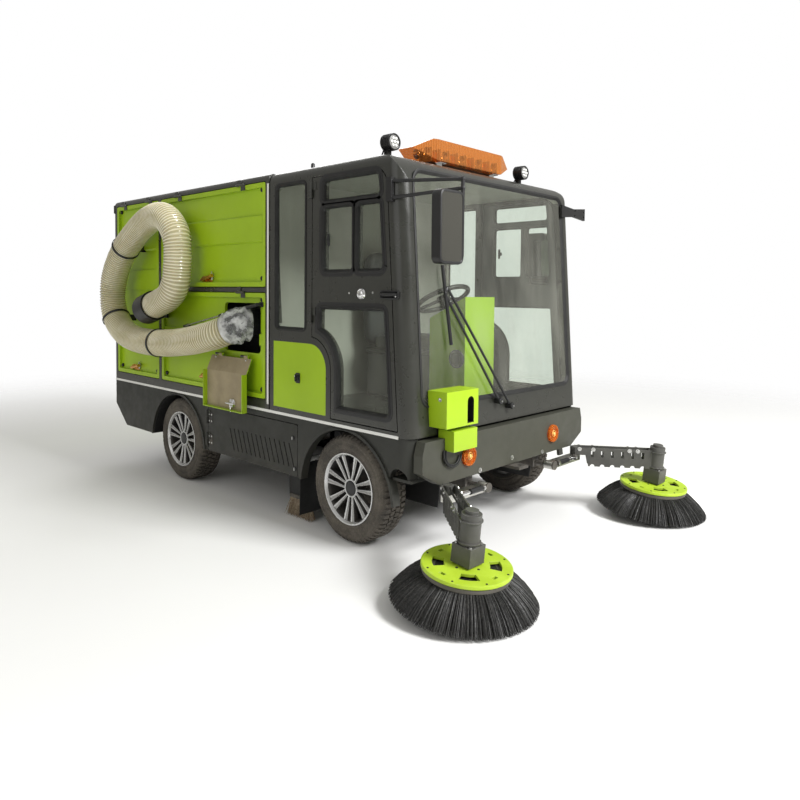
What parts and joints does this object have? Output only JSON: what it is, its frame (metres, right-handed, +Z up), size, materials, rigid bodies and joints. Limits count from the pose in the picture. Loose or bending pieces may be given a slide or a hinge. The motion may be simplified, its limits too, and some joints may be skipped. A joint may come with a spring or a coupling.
{
  "type": "street sweeper",
  "caption": "Compact ride-on street sweeper with closed cab, side brushes on swing arms, roller brush under the floor, suction hose looped on the body side and opening doors and hatches.",
  "frame": {"origin": "on the ground below the middle of the machine's outline, brushes included", "axes": "+X forward, +Y to the driver's left, +Z up"},
  "size_m": [4.1466, 2.4944, 2.235],
  "materials": {
    "lime_paint": "gloss",
    "grey_paint": "gloss",
    "bumper_grey": "satin",
    "frame_black": "matte",
    "white_paint": "gloss",
    "battery_black": "matte",
    "tyre": "matte",
    "alloy": "satin",
    "glass": "clear",
    "amber_lens": "gloss",
    "red_lens": "gloss",
    "black_plastic": "satin",
    "bristle": "matte",
    "hose": "satin",
    "seat_cover": "satin",
    "motor_grey": "satin"
  },
  "bodies": {
    "vehicle": {"chassis": "frame_black", "battery": "battery_black", "axles": "frame_black", "skirts": "grey_paint", "bumper": "bumper_grey", "stripes": "white_paint", "cab_shell": "grey_paint", "quarter_panels": "lime_paint", "cab_glass": "glass", "body_shell": "grey_paint", "hatches_right": "lime_paint", "amber_lenses": "amber_lens", "roof_fittings": "black_plastic", "roller_housing": "black_plastic", "suction_hose": "hose", "hose_fittings": "motor_grey", "tool_holders": "lime_paint", "mirror_right": "black_plastic", "wiper": "black_plastic", "seat": "seat_cover", "console": "lime_paint", "steering_wheel": "black_plastic", "tail_lamps": "red_lens"},
    "door_right": {"door_right": "grey_paint", "door_glass_right": "glass"},
    "door_left": {"door_left": "grey_paint", "door_glass_left": "glass", "mirror_left": "black_plastic"},
    "vent_door_right": {"vent_door_right": "grey_paint"},
    "vent_door_left": {"vent_door_left": "grey_paint"},
    "hatch_left_rear": {"hatch_left_rear": "lime_paint"},
    "hatch_left_upper": {"hatch_left_upper": "lime_paint"},
    "hatch_left_lower": {"hatch_left_lower": "lime_paint"},
    "tailgate": {"tailgate": "lime_paint"},
    "port_flap": {"port_flap": "lime_paint"},
    "knuckle_right": {"knuckle_right": "frame_black"},
    "knuckle_left": {"knuckle_left": "frame_black"},
    "wheel_front_right": {"tyre_front_right": "tyre", "rim_front_right": "alloy"},
    "wheel_front_left": {"tyre_front_left": "tyre", "rim_front_left": "alloy"},
    "wheel_rear_right": {"tyre_rear_right": "tyre", "rim_rear_right": "alloy"},
    "wheel_rear_left": {"tyre_rear_left": "tyre", "rim_rear_left": "alloy"},
    "lift_arm_right": {"lift_arm_right": "frame_black"},
    "lift_arm_left": {"lift_arm_left": "frame_black"},
    "swing_arm_right": {"swing_arm_right": "motor_grey"},
    "swing_arm_left": {"swing_arm_left": "motor_grey"},
    "brush_right": {"brush_disc_right": "lime_paint", "bristles_right": "bristle"},
    "brush_left": {"brush_disc_left": "lime_paint", "bristles_left": "bristle"},
    "roller": {"roller": "bristle"}
  },
  "joints": [
    {"name": "door_right_swing", "type": "hinge", "parent": "vehicle", "child": "door_right", "pos_m": [0.4797, -0.813, 1.4], "axis": [0, 0, -1], "range_deg": [0, 75]},
    {"name": "door_left_swing", "type": "hinge", "parent": "vehicle", "child": "door_left", "pos_m": [0.4797, 0.813, 1.4], "axis": [0, 0, 1], "range_deg": [0, 75]},
    {"name": "vent_door_right_swing", "type": "hinge", "parent": "vehicle", "child": "vent_door_right", "pos_m": [-0.6348, -0.813, 0.44], "axis": [0, 0, -1], "range_deg": [0, 100]},
    {"name": "vent_door_left_swing", "type": "hinge", "parent": "vehicle", "child": "vent_door_left", "pos_m": [-0.6348, 0.813, 0.44], "axis": [0, 0, 1], "range_deg": [0, 100]},
    {"name": "hatch_left_rear_lift", "type": "hinge", "parent": "vehicle", "child": "hatch_left_rear", "pos_m": [-1.6733, 0.813, 2.0305], "axis": [1, 0, 0], "range_deg": [0, 80]},
    {"name": "hatch_left_upper_lift", "type": "hinge", "parent": "vehicle", "child": "hatch_left_upper", "pos_m": [-0.6133, 0.813, 2.0305], "axis": [1, 0, 0], "range_deg": [0, 80]},
    {"name": "hatch_left_lower_lift", "type": "hinge", "parent": "vehicle", "child": "hatch_left_lower", "pos_m": [-0.6133, 0.813, 1.3585], "axis": [1, 0, 0], "range_deg": [0, 80]},
    {"name": "tailgate_lift", "type": "hinge", "parent": "vehicle", "child": "tailgate", "pos_m": [-2.0713, 0, 2.0305], "axis": [0, 1, 0], "range_deg": [0, 80]},
    {"name": "port_flap_swing", "type": "hinge", "parent": "vehicle", "child": "port_flap", "pos_m": [-0.3233, -0.819, 0.955], "axis": [-1, 0, 0], "range_deg": [0, 45]},
    {"name": "steer_left", "type": "hinge", "parent": "vehicle", "child": "knuckle_left", "pos_m": [0.7657, 0.54, 0.295], "axis": [0, 0, 1], "range_deg": [-25, 25]},
    {"name": "steer_right", "type": "hinge", "parent": "vehicle", "child": "knuckle_right", "pos_m": [0.7657, -0.54, 0.295], "axis": [0, 0, 1], "range_deg": [-25, 25]},
    {"name": "wheel_front_right_spin", "type": "hinge", "parent": "knuckle_right", "child": "wheel_front_right", "pos_m": [0.7657, -0.6975, 0.295], "axis": [0, 1, 0], "continuous": true},
    {"name": "wheel_front_left_spin", "type": "hinge", "parent": "knuckle_left", "child": "wheel_front_left", "pos_m": [0.7657, 0.6975, 0.295], "axis": [0, 1, 0], "continuous": true},
    {"name": "wheel_rear_right_spin", "type": "hinge", "parent": "vehicle", "child": "wheel_rear_right", "pos_m": [-1.0493, -0.6975, 0.295], "axis": [0, 1, 0], "continuous": true},
    {"name": "wheel_rear_left_spin", "type": "hinge", "parent": "vehicle", "child": "wheel_rear_left", "pos_m": [-1.0493, 0.6975, 0.295], "axis": [0, 1, 0], "continuous": true},
    {"name": "brush_lift_right", "type": "hinge", "parent": "vehicle", "child": "lift_arm_right", "pos_m": [1.3467, -0.33, 0.335], "axis": [-1, 0, 0], "range_deg": [0, 15]},
    {"name": "brush_swing_right", "type": "hinge", "parent": "lift_arm_right", "child": "swing_arm_right", "pos_m": [1.3467, -0.62, 0.38], "axis": [0, 0, -1], "range_deg": [-14, 8]},
    {"name": "brush_spin_right", "type": "hinge", "parent": "swing_arm_right", "child": "brush_right", "pos_m": [1.72206, -0.93497, 0.19474], "axis": [0.1045, 0, 0.9945], "continuous": true},
    {"name": "brush_lift_left", "type": "hinge", "parent": "vehicle", "child": "lift_arm_left", "pos_m": [1.3467, 0.33, 0.335], "axis": [1, 0, 0], "range_deg": [0, 15]},
    {"name": "brush_swing_left", "type": "hinge", "parent": "lift_arm_left", "child": "swing_arm_left", "pos_m": [1.3467, 0.62, 0.38], "axis": [0, 0, 1], "range_deg": [-14, 8]},
    {"name": "brush_spin_left", "type": "hinge", "parent": "swing_arm_left", "child": "brush_left", "pos_m": [1.75052, 0.89754, 0.19474], "axis": [0.1045, 0, 0.9945], "continuous": true},
    {"name": "roller_spin", "type": "hinge", "parent": "vehicle", "child": "roller", "pos_m": [0.1267, 0, 0.194], "axis": [0, 1, 0], "continuous": true}
  ],
  "couplings": [
    {"joint": "steer_right", "follows": "steer_left", "ratio": 1}
  ]
}
